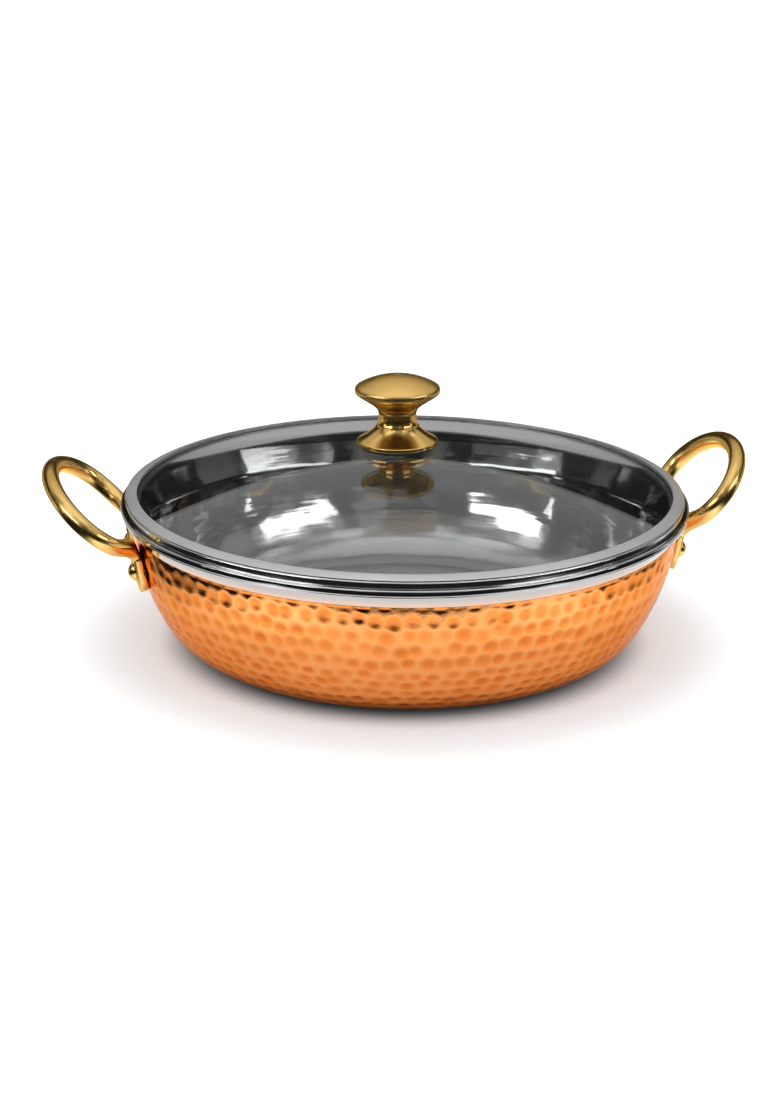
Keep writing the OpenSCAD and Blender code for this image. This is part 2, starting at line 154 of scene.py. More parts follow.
# How finely round things are cut
dimple_segments, dimple_rows = 1250, 150
pan_segments = 360
glass_segments, glass_steps = 240, 60
knob_segments, knob_steps = 256, 140
rivet_segments = 72
shell_steps, shell_inner_steps, bowl_steps = (60, 120), (8, 14), (30, 50)
flare_steps, roll_steps = 8, 8
crown_steps, crown_under_steps, bead_steps, bed_steps = 14, 6, 10, 5
cap_steps, cap_edge_steps, rivet_head_steps = 40, 16, 16
rod_sides = 48
tip_rings, lug_rings, bend_rings, loop_rings = 12, 8, 26, 97

# Points closer than these lie on the axis, or are one point
on_axis = 1e-7
same_point = 1e-9


# Outlines: lists of (radius, height) points
def arc(centre, radius, start, end, steps):
    angles = np.radians(np.linspace(start, end, steps + 1))
    return [(centre[0] + radius * math.cos(a), centre[1] + radius * math.sin(a)) for a in angles]


def line(start, end, steps):
    return [tuple(p) for p in np.linspace(start, end, steps + 1)]


def bezier(p, t):
    return (1 - t) ** 3 * p[0] + 3 * t * (1 - t) ** 2 * p[1] + 3 * t * t * (1 - t) * p[2] + t**3 * p[3]


def curve(points, shares):
    """Points at given shares of a Bezier curve."""
    p = [np.array(q) for q in points]
    return [tuple(bezier(p, t)) for t in shares]


def bowed(start, end, radius, steps):
    """An arc between two points, bowed to its left, which is upwards on a line that runs outwards."""
    start, end = np.array(start), np.array(end)
    half = np.linalg.norm(end - start) / 2
    along = (end - start) / (2 * half)
    centre = (start + end) / 2 - np.array([-along[1], along[0]]) * math.sqrt(radius**2 - half**2)
    first, last = (math.degrees(math.atan2(*(p - centre)[::-1])) for p in (start, end))
    return arc(centre, radius, first, last, steps)


def ball_radius(r, h):
    """The radius of the ball whose cap is h high and reaches r from its middle."""
    return (r * r + h * h) / (2 * h)


def wall_form(flat_r, floor_z, r1, r2, end):
    """A corner arc that leaves the floor level and a longer arc tangent to it that ends at a point."""
    c1 = np.array([flat_r, floor_z + r1])
    to = np.array(end) - c1
    d = np.linalg.norm(to)
    bend = math.acos((d * d + (r2 - r1) ** 2 - r2 * r2) / (2 * d * (r2 - r1)))
    to_c2 = math.atan2(to[1], to[0]) + bend
    c2 = c1 + (r2 - r1) * np.array([math.cos(to_c2), math.sin(to_c2)])
    last = math.degrees(math.atan2(end[1] - c2[1], end[0] - c2[0]))
    return {"c1": c1, "r1": r1, "c2": c2, "r2": r2, "meet": math.degrees(to_c2) - 180, "last": last}


def wall_face(w, inset, steps):
    low = arc(w["c1"], w["r1"] - inset, -90, w["meet"], steps[0])
    return low + arc(w["c2"], w["r2"] - inset, w["meet"], w["last"], steps[1])[1:]


def wall_angle(w, z):
    """How far the wall's face leans back at a height, in radians."""
    return math.asin((z - w["c2"][1]) / w["r2"])


def wall_radius(w, z):
    return w["c2"][0] + w["r2"] * math.cos(wall_angle(w, z))


# The pan's walls and flare
base_r = shell_r - wall_lean
shell_wall = wall_form(base_r, 0, corner_r, wall_r, (shell_r, shell_h))
crease_h = shell_h - crease_drop
crease_r = wall_radius(shell_wall, crease_h) - copper_t - air_gap
bowl_wall = wall_form(base_r - air_gap, copper_t, corner_r - copper_t, wall_r - copper_t - air_gap,
                      (crease_r, crease_h))
flare_slope = (shell_r - rim_gap - crease_r) / (shell_h - crease_h)
flare_cos = math.cos(math.atan(flare_slope))


def flare_out_r(z):
    return crease_r + (z - crease_h) * flare_slope


def flare_in_r(z):
    return flare_out_r(z) - steel_t / flare_cos


def clear_of_flare(p):
    return p[1] < crease_h or p[0] > flare_out_r(p[1]) + rim_gap


# The lid's dome and what stands on it
band_in_r = lid_r - band_w
dome_top = band_top - 2 * band_t + dome_rise
dome_r = ball_radius(band_in_r, dome_rise)
glass_r = lid_r - 2 * band_t - 2 * seat_gap
dome_centre = Vector((0, 0, dome_top - dome_r))
knob_z = dome_top + seal_t
tilt_on_dome = (Matrix.Translation(dome_centre)
                @ Matrix.Rotation(-math.asin(hole_off / dome_r), 4, "Y")
                @ Matrix.Translation(-dome_centre))


def glass_top(r):
    """The dome flattens a little towards its rim."""
    share = (r / band_in_r) ** 2
    return dome_top - dome_rise * share * (1 + rim_flat_share * (1 - share))


def glass_under(r):
    share = (r / band_in_r) ** 2
    slope = 2 * dome_rise * r / band_in_r**2 * (1 + rim_flat_share * (1 - 2 * share))
    return glass_top(r) - glass_t * math.hypot(1, slope)


# Meshes
def full_turn(segments):
    return np.arange(segments) * 2 * math.pi / segments


def new_object(name, verts, faces, sharp_angle):
    """A smooth mesh whose edges above an angle stay sharp."""
    mesh = bpy.data.meshes.new(name)
    mesh.from_pydata([tuple(v) for v in verts], [], faces)
    bm = bmesh.new()
    bm.from_mesh(mesh)
    bmesh.ops.recalc_face_normals(bm, faces=bm.faces)
    limit = math.radians(sharp_angle)
    for face in bm.faces:
        face.smooth = True
    for edge in bm.edges:
        edge.smooth = len(edge.link_faces) == 2 and edge.calc_face_angle(0) < limit
    bm.to_mesh(mesh)
    bm.free()
    obj = bpy.data.objects.new(name, mesh)
    bpy.context.scene.collection.objects.link(obj)
    return obj


def ring_faces(a, b):
    """The faces between two rings of vertices. A ring of one vertex lies on the axis."""
    if len(a) == len(b) == 1:
        return []
    faces = []
    steps = max(len(a), len(b))
    for i in range(steps):
        j = (i + 1) % steps
        if len(a) == 1:
            faces.append((a[0], b[i], b[j]))
        elif len(b) == 1:
            faces.append((a[j], a[i], b[0]))
        else:
            faces.append((a[i], b[i], b[j], a[j]))
    return faces


def revolve(name, outline, segments, sharp_angle=30):
    """A closed outline turned about Z. Its points on the axis become one vertex each."""
    verts, rings = [], []
    turn = full_turn(segments)
    for r, z in outline:
        if r < on_axis:
            rings.append([len(verts)])
            verts.append((0, 0, z))
        else:
            rings.append(list(range(len(verts), len(verts) + segments)))
            verts += [(r * math.cos(a), r * math.sin(a), z) for a in turn]
    faces = []
    for a, b in zip(rings, rings[1:] + rings[:1]):
        faces += ring_faces(a, b)
    return new_object(name, verts, faces, sharp_angle)


def place(obj, matrix):
    obj.data.transform(matrix)
    return obj


def soften(outline, radius, angle=25, steps=3, most_of_edge=0.4):
    """Rounds the corners of a closed outline that turn by more than an angle."""
    pts = [np.array(p) for p in outline]
    out = []
    for i, p in enumerate(pts):
        u, v = pts[i - 1] - p, pts[(i + 1) % len(pts)] - p
        lu, lv = np.linalg.norm(u), np.linalg.norm(v)
        if min(lu, lv) < same_point:
            continue
        turn = math.degrees(math.acos(max(-1, min(1, -u @ v / lu / lv))))
        if turn < angle or p[0] < on_axis:
            out.append(tuple(p))
            continue
        cut = min(radius, most_of_edge * lu, most_of_edge * lv)
        s, e = p + u / lu * cut, p + v / lv * cut
        for k in range(steps + 1):
            t = k / steps
            out.append(tuple((1 - t) ** 2 * s + 2 * t * (1 - t) * p + t * t * e))
    return out


# Material helpers
class Tree:
    """Short calls that add shader nodes. What feeds a socket is a value or another node's output."""

    def __init__(self, tree):
        self.tree = tree
        self.point = None

    def feed(self, socket, value):
        if isinstance(value, bpy.types.NodeSocket):
            self.tree.links.new(value, socket)
        else:
            socket.default_value = value

    def feed_in_order(self, node, *values):
        for socket, value in zip(node.inputs, values):
            self.feed(socket, value)

    def node(self, kind, props=None, **inputs):
        n = self.tree.nodes.new("ShaderNode" + kind)
        for key, value in (props or {}).items():
            setattr(n, key, value)
        for key, value in inputs.items():
            self.feed(n.inputs[key.replace("_", " ")], value)
        return n

    def place(self):
        """The shaded point in the object's own frame, which is the CAD frame."""
        if self.point is None:
            self.point = self.node("TexCoord").outputs["Object"]
        return self.point

    def math(self, operation, *values):
        n = self.node("Math", {"operation": operation})
        self.feed_in_order(n, *values)
        return n.outputs[0]

    def measure(self, operation, *vectors):
        """The number that a vector operation gives."""
        n = self.node("VectorMath", {"operation": operation})
        self.feed_in_order(n, *vectors)
        return n.outputs["Value"]

    def ramp(self, value, span, to=(0, 1), smooth=False):
        """Takes the values of one span evenly, or in a smooth step, to those of another, and stops there."""
        n = self.node("MapRange", {"interpolation_type": "SMOOTHSTEP" if smooth else "LINEAR"})
        self.feed_in_order(n, value, *span, *to)
        return n.outputs[0]

    def noise(self, scale, detail=3.0, roughness=0.5, vector=None):
        n = self.node("TexNoise", Scale=scale, Detail=detail, Roughness=roughness)
        self.feed(n.inputs["Vector"], vector or self.place())
        return n.outputs["Fac"]

    def mix(self, share, a, b):
        """One shader where the share is 0 and another where it is 1."""
        n = self.node("MixShader")
        self.feed_in_order(n, share, a, b)
        return n.outputs[0]

    def seen(self):
        """1 for rays from the camera, from a mirror or through glass."""
        path = self.node("LightPath")
        total = path.outputs["Is Camera Ray"]
        for name in ("Is Glossy Ray", "Is Transmission Ray"):
            total = self.math("MAXIMUM", total, path.outputs[name])
        return total


class Shader(Tree):
    """A material with a Principled shader, and the calls that its finish needs."""

    def __init__(self, name, **sockets):
        self.mat = bpy.data.materials.new(name)
        self.mat.use_nodes = True
        super().__init__(self.mat.node_tree)
        self.bsdf = self.tree.nodes["Principled BSDF"]
        self.set(**sockets)

    def set(self, **inputs):
        for key, value in inputs.items():
            self.feed(self.bsdf.inputs[key.replace("_", " ")], value)
        return self.mat

    def attribute(self, name):
        return self.node("Attribute", {"attribute_name": name}).outputs["Fac"]

    def blend(self, share, a, b):
        """One colour where the share is 0 and another where it is 1, by a Mix node's colour sockets."""
        share_in, a_in, b_in, colour_out = 0, 6, 7, 2
        n = self.node("Mix", {"data_type": "RGBA"})
        for index, value in ((share_in, share), (a_in, a), (b_in, b)):
            self.feed(n.inputs[index], value)
        return n.outputs[colour_out]

    def bump(self, height, distance, strength, normal=None):
        n = self.node("Bump", Height=height, Distance=distance, Strength=strength)
        if normal is not None:
            self.feed(n.inputs["Normal"], normal)
        return n.outputs["Normal"]

    def parts(self):
        """The shaded point's three coordinates."""
        return self.node("SeparateXYZ", Vector=self.place()).outputs

    def height(self):
        return self.parts()["Z"]

    def radius(self):
        x, y, _ = self.parts()
        return self.math("SQRT", self.math("ADD", self.math("MULTIPLY", x, x), self.math("MULTIPLY", y, y)))

    def around(self, ring_scale, turn_scale):
        """Coordinates for turned lines: fine across the rings and long round the axis."""
        x, y, z = self.parts()
        turn = self.math("ARCTAN2", y, x)
        n = self.node("CombineXYZ", X=self.math("MULTIPLY", self.radius(), ring_scale),
                      Y=self.math("MULTIPLY", z, ring_scale), Z=self.math("MULTIPLY", turn, turn_scale))
        return n.outputs[0]


def dress(obj, material):
    obj.data.materials.clear()
    obj.data.materials.append(material)
    return obj


# Materials. A noise has a scale in repeats a metre, and most of its values lie in its middle.
middle = (0.3, 0.7)


def copper_material():
    """Hammered copper with light and dark dimples and tarnish. Its ridges are painted lighter and its pits
    darker, partly polish and patina and partly painted reflection, and painted shade deepens it towards the
    foot.
    """
    bright, deep = (0.94, 0.31, 0.073, 1), (0.83, 0.245, 0.05, 1)
    light_dimple, dark_dimple = (0.97, 0.42, 0.14, 1), (0.70, 0.18, 0.03, 1)
    # Ridge and pit colours: polish and patina, with painted highlight on the ridges and painted shade in the
    # pits
    ridge_polish_and_highlight, pit = (0.98, 0.44, 0.16, 1), (0.66, 0.155, 0.024, 1)
    # foot is the colour of painted shade on the shell's lower wall; tarnish is the metal's own
    foot, tarnish = (0.60, 0.13, 0.02, 1), (0.60, 0.19, 0.06, 1)
    light_share, ridge_share, dark_share, tarnish_share = 0.6, 0.55, 0.5, 0.45
    s = Shader("hammered_copper", Metallic=1.0, Specular_Tint=(1, 0.7, 0.5, 1))
    tone, crest = s.attribute("dimple_tone"), s.attribute("dimple_crest")
    patch = s.noise(scale=22, detail=4, roughness=0.55)
    spots = s.noise(scale=160, detail=5, roughness=0.7)
    fine = s.noise(scale=900, detail=3, roughness=0.6)
    colour = s.blend(s.ramp(patch, span=(0.35, 0.7)), bright, deep)
    colour = s.blend(s.ramp(tone, span=(0.5, 1), to=(0, light_share)), colour, light_dimple)
    colour = s.blend(s.ramp(tone, span=(0, 0.5), to=(dark_share, 0)), colour, dark_dimple)
    # Painted highlight: the ridges are lighter, partly polish and partly painted reflection
    colour = s.blend(s.ramp(crest, span=(0.7, 1), to=(0, ridge_share)), colour, ridge_polish_and_highlight)
    # Painted shade: the pits are darker, partly patina in the hollows and partly painted shade
    colour = s.blend(s.ramp(crest, span=(0.2, 0.75), to=(dark_share, 0)), colour, pit)
    # Painted shade: the copper darkens towards its foot
    colour = s.blend(s.ramp(s.height(), span=(5 * mm, 22 * mm), to=(dark_share, 0)), colour, foot)
    colour = s.blend(s.math("MULTIPLY", s.ramp(spots, span=(0.6, 0.78)), tarnish_share), colour, tarnish)
    rough = s.math("ADD", s.ramp(fine, middle, to=(0.09, 0.15)), s.ramp(tone, span=(0, 1), to=(-0.02, 0.03)))
    streaks = s.noise(scale=1, detail=4, roughness=0.6, vector=s.around(ring_scale=1500, turn_scale=9))
    normal = s.bump(streaks, distance=0.02 * mm, strength=0.5)
    normal = s.bump(s.noise(scale=110), distance=0.4 * mm, strength=0.5, normal=normal)
    grain = s.noise(scale=330, detail=4, roughness=0.6)
    normal = s.bump(grain, distance=0.12 * mm, strength=0.6, normal=normal)
    normal = s.bump(fine, distance=0.02 * mm, strength=0.4, normal=normal)
    return s.set(Base_Color=colour, Roughness=rough, Normal=normal)


def brass_base(name, rough):
    """Brass with cloudy patches and faint tarnish: its shader and its roughness."""
    bright, deep, tarnish = (0.98, 0.66, 0.235, 1), (0.93, 0.60, 0.19, 1), (0.58, 0.36, 0.11, 1)
    tarnish_share = 0.2
    s = Shader(name, Metallic=1.0, Specular_Tint=(1, 0.8, 0.45, 1))
    patch = s.noise(scale=60, detail=4, roughness=0.55)
    spots = s.noise(scale=240, detail=5, roughness=0.65)
    colour = s.blend(s.ramp(patch, middle), bright, deep)
    colour = s.blend(s.math("MULTIPLY", s.ramp(spots, span=(0.58, 0.8)), tarnish_share), colour, tarnish)
    s.set(Base_Color=colour)
    return s, s.ramp(s.noise(scale=150, detail=2), middle, to=rough)


def forged_brass_material():
    s, rough = brass_base("forged_brass", rough=(0.19, 0.27))
    normal = s.bump(s.noise(scale=1400, roughness=0.6), distance=0.01 * mm, strength=0.5)
    normal = s.bump(s.noise(scale=60, detail=2), distance=0.12 * mm, strength=0.3, normal=normal)
    return s.set(Roughness=rough, Normal=normal)


def turned_brass_material():
    """Lathe lines all over, and a softer shine from the cap's edge upwards."""
    cap_low = knob_z + knob_h * cap_low_share
    s, rough = brass_base("turned_brass", rough=(0.16, 0.24))
    rough = s.math("ADD", rough, s.ramp(s.height(), span=(cap_low, cap_low + 1 * mm), to=(0, 0.12)))
    lines = s.noise(scale=1, roughness=0.55, vector=s.around(ring_scale=1300, turn_scale=0.8))
    return s.set(Roughness=rough, Normal=s.bump(lines, distance=0.03 * mm, strength=0.6))


def steel_base(name, grey, rough, ring_scale):
    """Turned steel: its shader, colour, roughness and normal."""
    dark_share = 0.86
    s = Shader(name, Metallic=1.0)
    dark = tuple(dark_share * c for c in grey)
    colour = s.blend(s.ramp(s.noise(scale=30, detail=4), middle), grey + (1,), dark + (1,))
    lines = s.noise(scale=1, detail=4, roughness=0.6, vector=s.around(ring_scale, turn_scale=3))
    return s, colour, s.ramp(lines, middle, to=rough), s.bump(lines, distance=0.01 * mm, strength=0.5)


def bowl_steel_material():
    """A dull floor painted darker as shade, a polished wall with broad turned rings, and a paler flare that
    is warm at its foot. The inside's grey is painted darker than the flare's as shade under the lid.
    """
    floor_shade_grey, flare_grey, warm = (0.2, 0.2, 0.2, 1), (0.63, 0.63, 0.63, 1), (0.95, 0.66, 0.50, 1)
    floor_shade_share, polish_share = 0.9, 0.4
    ring_height, swell_height = 0.2 * mm, 0.8 * mm
    warm_height = 3.5 * mm
    # The inside's grey of 0.5 is painted shade: darker than the flare's steel, as under the lid
    base = steel_base("bowl_steel", (0.50, 0.50, 0.50), rough=(0.14, 0.26), ring_scale=1400)
    s, colour, rough, normal = base
    high = s.height()
    # Painted shade: the bowl's floor is darker still
    colour = s.blend(s.ramp(high, span=(3 * mm, 12 * mm), to=(floor_shade_share, 0)), colour, floor_shade_grey)
    mid_r = [flare_out_r(z) - steel_t / 2 for z in (crease_h, lip_h)]
    outside = s.math("GREATER_THAN", s.radius(), s.ramp(high, span=(crease_h, lip_h), to=mid_r))
    colour = s.blend(outside, colour, flare_grey)
    near_copper = s.ramp(high, span=(shell_h, shell_h + warm_height), to=(1, 0))
    colour = s.blend(s.math("MULTIPLY", outside, near_copper), colour, warm)
    rough = s.math("MULTIPLY", rough, s.ramp(high, span=(10 * mm, 24 * mm), to=(1, polish_share)))
    rings = s.noise(scale=1, detail=2, vector=s.around(ring_scale=150, turn_scale=0.8))
    normal = s.bump(rings, distance=ring_height, strength=1, normal=normal)
    normal = s.bump(s.noise(scale=35, detail=2), distance=swell_height, strength=1, normal=normal)
    return s.set(Base_Color=colour, Roughness=rough, Normal=normal)


def band_steel_material():
    """Bright steel, satin on the crown."""
    satin_low = band_top - 1.6 * mm
    base = steel_base("band_steel", (0.90, 0.90, 0.91), rough=(0.08, 0.17), ring_scale=2600)
    s, colour, rough, normal = base
    satin = s.ramp(s.height(), span=(satin_low, satin_low + 0.3 * mm), to=(0, 0.42))
    return s.set(Base_Color=colour, Roughness=s.math("ADD", rough, satin), Normal=normal)


def fastener_steel_material():
    base = steel_base("fastener_steel", (0.56, 0.56, 0.57), rough=(0.22, 0.34), ring_scale=1800)
    s, colour, rough, normal = base
    return s.set(Base_Color=colour, Roughness=rough, Normal=normal)


def glass_material():
    """Clear glass with a hardly seen tint and smears."""
    clear, tinted = (0.985, 0.995, 0.99, 1), (0.97, 0.99, 0.985, 1)
    s = Shader("clear_glass", Transmission_Weight=1.0, IOR=1.5)
    colour = s.blend(s.ramp(s.noise(scale=8, detail=2), middle), clear, tinted)
    rough = s.ramp(s.noise(scale=45, detail=5, roughness=0.6), span=(0.5, 0.9), to=(0, 0.02))
    return s.set(Base_Color=colour, Roughness=rough)


def silicone_material():
    black, dusty = (0.018, 0.018, 0.02, 1), (0.035, 0.035, 0.037, 1)
    s = Shader("silicone", IOR=1.42)
    colour = s.blend(s.noise(scale=300, detail=4, roughness=0.6), black, dusty)
    rough = s.ramp(s.noise(scale=700), middle, to=(0.45, 0.62))
    normal = s.bump(s.noise(scale=2500, roughness=0.6), distance=0.03 * mm, strength=0.5)
    return s.set(Base_Color=colour, Roughness=rough, Normal=normal)


copper = copper_material()
forged_brass = forged_brass_material()
turned_brass = turned_brass_material()
bowl_steel = bowl_steel_material()
band_steel = band_steel_material()
fastener_steel = fastener_steel_material()
clear_glass = glass_material()
silicone = silicone_material()


# Hammered shell
def dimples(along, turn, radius, total):
    """Depth below the wall's face at each point, its dimple's tone, and how near it lies to a crest: 0 in a
    pit, 1 on a ridge.

    The rows lie down the wall's arc length, each with dimples that are jittered in place, size and depth.
    """
    seed, fewest = 7, 12
    rng = np.random.default_rng(seed)
    places = [total + first_row_above]
    while places[-1] > -2 * row_pitch_low:
        drop = total - places[-1]
        places.append(places[-1] - np.interp(drop, [pitch_from, pitch_to], [row_pitch_top, row_pitch_low]))
    places = np.array(places[::-1])
    pitches = np.gradient(places)
    row_radius = np.interp(places, along[:, 0], radius[:, 0])
    counts = np.maximum(fewest, np.rint(2 * math.pi * row_radius / dimple_width)).astype(int)
    phases = rng.random(len(places))
    table = rng.uniform(-1, 1, (len(places), counts.max(), 5))
    nearest = np.abs(along[:, :1] - places[None]).argmin(1).clip(1, len(places) - 2)
    deepest = np.zeros(along.shape)
    tone = np.zeros(along.shape)
    for dk in (-1, 0, 1):
        k = np.repeat((nearest + dk)[:, None], along.shape[1], 1)
        n = counts[k]
        at = turn / (2 * math.pi) * n - phases[k]
        for dj in (-1, 0, 1):
            j = np.rint(at).astype(int) + dj
            shift_up, shift_across, size, shade, strength = np.moveaxis(table[k, j % n], -1, 0)
            reach = dimple_reach_share * (1 + size * dimple_size_share)
            across = (at - j - shift_across * dimple_jitter_share) / reach
            up = ((along - places[k]) / pitches[k] - shift_up * dimple_jitter_share) / reach
            far = np.minimum(np.hypot(across, up), 1)
            share = (1 + shallowest_share) / 2 + (1 - shallowest_share) / 2 * strength
            pit = share * (1 + np.cos(math.pi * far)) / 2
            tone = np.where(pit > deepest, shade * pit, tone)
            deepest = np.maximum(deepest, pit)
    return -dimple_depth * deepest, (tone + 1) / 2, 1 - deepest


def hammered_face(turn):
    """The outer face in rings from the base's edge up: radii, heights, dimple tones and crests."""
    face = np.array(wall_face(shell_wall, 0, shell_steps))
    steps = np.concatenate([[0], np.cumsum(np.linalg.norm(np.diff(face, axis=0), axis=1))])
    total = steps[-1]
    s = np.linspace(0, total, dimple_rows)
    r, z = np.interp(s, steps, face[:, 0]), np.interp(s, steps, face[:, 1])
    dr, dz = np.gradient(r, s), np.gradient(z, s)
    normal = np.stack([dz, -dr], -1) / np.hypot(dr, dz)[:, None]
    along, angle = np.meshgrid(s, turn, indexing="ij")
    radius = np.repeat(r[:, None], dimple_segments, 1)
    depth, tone, crest = dimples(along, angle, radius, total)
    depth *= np.clip((total - along) / fade_below_edge, 0, 1) * np.clip(along / fade_above_base, 0, 1)
    return r[:, None] + normal[:, :1] * depth, np.maximum(z[:, None] + normal[:, 1:] * depth, 0), tone, crest


def copper_shell():
    """Rings from the base's middle out and up the hammered face, over the edge and down the plain inside."""
    turn = full_turn(dimple_segments)
    plain_tone, plain_crest = 0.5, 0
    verts, tones, crests, rings = [], [], [], []
    ones = np.ones(dimple_segments)

    def add_point(height):
        rings.append([len(verts)])
        verts.append((0, 0, height))
        tones.append(plain_tone)
        crests.append(plain_crest)

    def add_ring(radii, heights, ring_tones=plain_tone * ones, ring_crests=plain_crest * ones):
        rings.append(list(range(len(verts), len(verts) + dimple_segments)))
        verts.extend(zip(radii * np.cos(turn), radii * np.sin(turn), heights))
        tones.extend(ring_tones)
        crests.extend(ring_crests)

    add_point(0)
    for share in base_ring_shares:
        add_ring(base_r * share * ones, 0 * ones)
    for ring in zip(*hammered_face(turn)):
        add_ring(*ring)
    bevel_h = shell_h - copper_t / flare_slope
    inner = [p for p in wall_face(shell_wall, copper_t, shell_inner_steps) if clear_of_flare(p)]
    for ring_r, ring_h in [(flare_out_r(bevel_h) + rim_gap, bevel_h)] + inner[::-1]:
        add_ring(ring_r * ones, ring_h * ones)
    add_point(copper_t)
    faces = []
    for a, b in zip(rings, rings[1:]):
        faces += ring_faces(a, b)
    obj = new_object("hammered_shell", verts, faces, sharp_angle=35)
    for name, values in (("dimple_tone", tones), ("dimple_crest", crests)):
        layer = obj.data.attributes.new(name, "FLOAT", "POINT")
        layer.data.foreach_set("value", np.array(values, np.float32))
    return dress(obj, copper)


# Steel bowl
def steel_bowl():
    """Floor and wall in two faces, with a flare whose rolled lip shows a seam."""
    low = lip_h - roll_h
    outer = wall_face(bowl_wall, 0, bowl_steps)
    inner = wall_face(bowl_wall, steel_t, bowl_steps)
    seam_h = low + roll_h * seam_share
    roll = [(flare_out_r(low), low), (lip_r - seam_depth, low), (lip_r - seam_depth, seam_h - seam_depth)]
    roll += [(lip_r, seam_h), (lip_r, lip_h - roll_edge_r)]
    roll += arc((lip_r - roll_edge_r, lip_h - roll_edge_r), roll_edge_r, 0, 90, roll_steps)[1:]
    flare = line((flare_in_r(lip_h), lip_h), inner[-1], flare_steps)
    outline = [(0, copper_t)] + outer + roll + flare[:-1] + inner[::-1]
    outline += [(0, copper_t + steel_t)]
    return dress(revolve("bowl", soften(outline, bowl_edge_r), pan_segments), bowl_steel)


# Lid
def lid_band():
    """Crown, groove, bead and nesting wall, then the flange and the hollow that holds the glass's edge."""
    crown_c = (band_in_r + band_t / 2, band_top - crown_r)
    crown_end = math.degrees(math.acos((lid_r - bead_r / 2 - crown_c[0]) / crown_r))
    crown_low = crown_c[1] + crown_r * math.sin(math.radians(crown_end))
    bead_c = (lid_r - bead_r, crown_low - groove_w - bead_r)
    inner_r = crown_r - band_t
    flange_top = glass_under(glass_r)
    band_low = flange_top - band_t
    nest_r = flare_in_r(band_low) - seat_gap / flare_cos
    nest_h = crease_h + (lid_r + (seat_gap + steel_t) / flare_cos - crease_r) / flare_slope
    outline = bowed((band_in_r, band_top), (lid_r - bead_r / 2, crown_low), crown_face_r, crown_steps)
    outline += [(lid_r - bead_r - groove_w, crown_low - groove_w)] + arc(bead_c, bead_r, 90, 0, bead_steps)
    outline += [(lid_r, nest_h), (nest_r, band_low), (band_in_r, band_low), (band_in_r, flange_top)]
    outline += [(glass_r, flange_top)]
    start = math.degrees(math.acos((glass_r - crown_c[0]) / inner_r))
    end = math.degrees(math.acos(band_t / 2 / inner_r))
    outline += arc(crown_c, inner_r, start, end, crown_under_steps)
    outline += [(band_in_r + band_t, glass_top(band_in_r)), (band_in_r, glass_top(band_in_r))]
    return dress(revolve("lid_ring", soften(outline, band_edge_r), pan_segments), band_steel)


def lid_bed():
    """The black ring that beds the glass, inside the band and under the glass's edge."""
    low = glass_under(band_in_r) - bed_h
    outline = [(band_in_r - bed_w, low), (band_in_r - joint_gap, low)]
    radii = np.linspace(band_in_r - joint_gap, band_in_r - bed_w, bed_steps + 1)
    outline += [(r, glass_under(r) - joint_gap) for r in radii]
    return dress(revolve("glass_bed", soften(outline, bed_edge_r), glass_segments), silicone)


def lid_glass():
    """Two dome faces joined at the rim and round the hole, ring by ring from the hole outwards."""
    hole_r = glass_hole_d / 2
    turn = full_turn(glass_segments)
    shares = np.linspace(0, 1, glass_steps + 1)
    verts, rings = [], []
    for face_height, face_shares in ((glass_top, shares), (glass_under, shares[::-1])):
        for t in face_shares:
            radius = hole_r + (glass_r - hole_r) * t
            x = radius * np.cos(turn) - hole_off * (1 - t)
            y = radius * np.sin(turn)
            rings.append(list(range(len(verts), len(verts) + glass_segments)))
            verts += [(px, py, face_height(math.hypot(px, py))) for px, py in zip(x, y)]
    faces = []
    for a, b in zip(rings, rings[1:] + rings[:1]):
        faces += ring_faces(a, b)
    return dress(new_object("glass_dome", verts, faces, sharp_angle=40), clear_glass)


def lathe_lines(outline, places):
    """Presses fine grooves into an outline at given points."""
    out = []
    pts = np.array(outline)
    slope = np.gradient(pts, axis=0)
    for p, d in zip(pts, slope):
        inward = np.array([-d[1], d[0]]) / max(np.hypot(*d), same_point)
        if inward[0] > 0:
            inward = -inward
        near = [np.hypot(*(p - q)) / (line_width_share * line_r) for q in places]
        out.append(tuple(p + inward * sum(line_r * math.exp(-(f**2)) for f in near)))
    return out


def knob_outline():
    """Foot, waisted neck and domed cap, with scribed lines, a mark in the cap's middle and a screw hole."""
    foot = [(foot_r - line_r, foot_rim_h), (foot_r * foot_r_share, knob_h * foot_h_shares[0]),
            (neck_r, knob_h * foot_h_shares[1]), (neck_r, knob_h * foot_h_shares[2])]
    cap_c = (cap_r - cap_edge_r,
             knob_h - cap_dome_r + math.sqrt((cap_dome_r - cap_edge_r) ** 2 - (cap_r - cap_edge_r) ** 2))
    under = math.radians(cap_under_a)
    cap = [(neck_r, knob_h * cap_h_shares[0]), (neck_r, knob_h * cap_h_shares[1]),
           (cap_r * cap_r_share, knob_h * cap_h_shares[2]),
           (cap_c[0] + cap_edge_r * math.cos(under), cap_c[1] + cap_edge_r * math.sin(under))]
    cap_a = math.degrees(math.atan2(cap_c[1] - knob_h + cap_dome_r, cap_c[0]))
    mark_a = math.degrees(math.acos(mark_r / cap_dome_r))
    places = curve(foot, foot_line_shares) + curve(cap, cap_line_shares)
    shares = np.linspace(0, 1, knob_steps + 1)
    side = lathe_lines(curve(foot, shares) + curve(cap, shares), places)
    bore_r, bore_h = screw_d / 2 + joint_gap, screw_grip + screw_room
    outline = [(0, bore_h), (bore_r, bore_h), (bore_r, 0), (foot_r - line_r, 0), (foot_r, line_r)]
    outline += [(foot_r, foot_rim_h - line_r)] + side
    outline += arc(cap_c, cap_edge_r, cap_under_a, cap_a, cap_edge_steps)[1:]
    outline += arc((0, knob_h - cap_dome_r), cap_dome_r, cap_a, mark_a, cap_steps)[1:]
    return outline + [(0, knob_h - mark_depth)]


